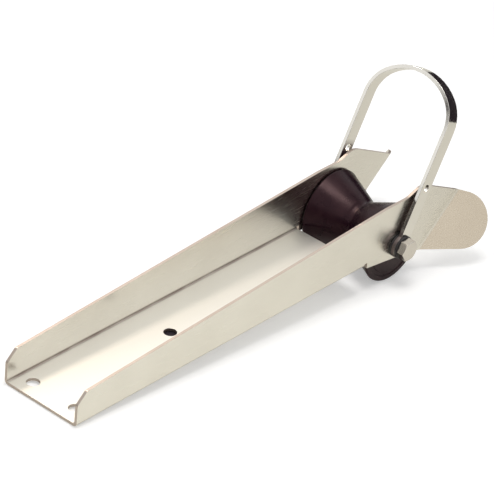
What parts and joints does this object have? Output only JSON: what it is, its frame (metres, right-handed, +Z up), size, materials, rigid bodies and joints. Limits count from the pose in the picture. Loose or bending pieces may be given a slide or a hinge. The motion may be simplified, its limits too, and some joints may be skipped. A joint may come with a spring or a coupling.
{
  "type": "bow roller",
  "caption": "Folded stainless channel with cheeks and flared lips, a V-shaped rubber roller on a bolt axle and a hoop-shaped bail that swings on the same axle.",
  "frame": {"origin": "underside of the channel's floor, on its centre line, midway along between the aft fixing holes and the forward one", "axes": "+X along the channel to the bow, +Y to port, +Z up from the deck"},
  "size_m": [0.3662, 0.0982, 0.1276],
  "materials": {
    "channel": "satin stainless steel",
    "roller": "matt black rubber",
    "roller_bush_port": "plain white nylon",
    "roller_bush_starboard": "plain white nylon",
    "axle_sleeve": "satin stainless steel",
    "axle_bolt": "satin stainless steel",
    "lock_nut": "satin stainless steel",
    "lock_nut_ring": "plain white nylon",
    "thrust_washer_port": "plain black nylon",
    "thrust_washer_starboard": "plain black nylon",
    "bail": "satin stainless steel",
    "pivot_washer_port": "plain black nylon",
    "pivot_washer_starboard": "plain black nylon",
    "outer_washer_port": "plain black nylon",
    "outer_washer_starboard": "plain black nylon"
  },
  "bodies": {
    "frame": {"channel": "channel", "axle_sleeve": "axle_sleeve", "axle_bolt": "axle_bolt", "lock_nut": "lock_nut", "lock_nut_ring": "lock_nut_ring", "thrust_washer_port": "thrust_washer_port", "thrust_washer_starboard": "thrust_washer_starboard", "pivot_washer_port": "pivot_washer_port", "pivot_washer_starboard": "pivot_washer_starboard", "outer_washer_port": "outer_washer_port", "outer_washer_starboard": "outer_washer_starboard"},
    "roller": {"roller": "roller", "roller_bush_port": "roller_bush_port", "roller_bush_starboard": "roller_bush_starboard"},
    "bail": {"bail": "bail"}
  },
  "joints": [
    {"name": "roller_spin", "type": "hinge", "parent": "frame", "child": "roller", "pos_m": [0.23, 0, 0.005], "axis": [0, 1, 0], "continuous": true},
    {"name": "bail_swing", "type": "hinge", "parent": "frame", "child": "bail", "pos_m": [0.23, 0, 0.005], "axis": [0, 1, 0], "range_deg": [-93.5, 43.8]}
  ]
}
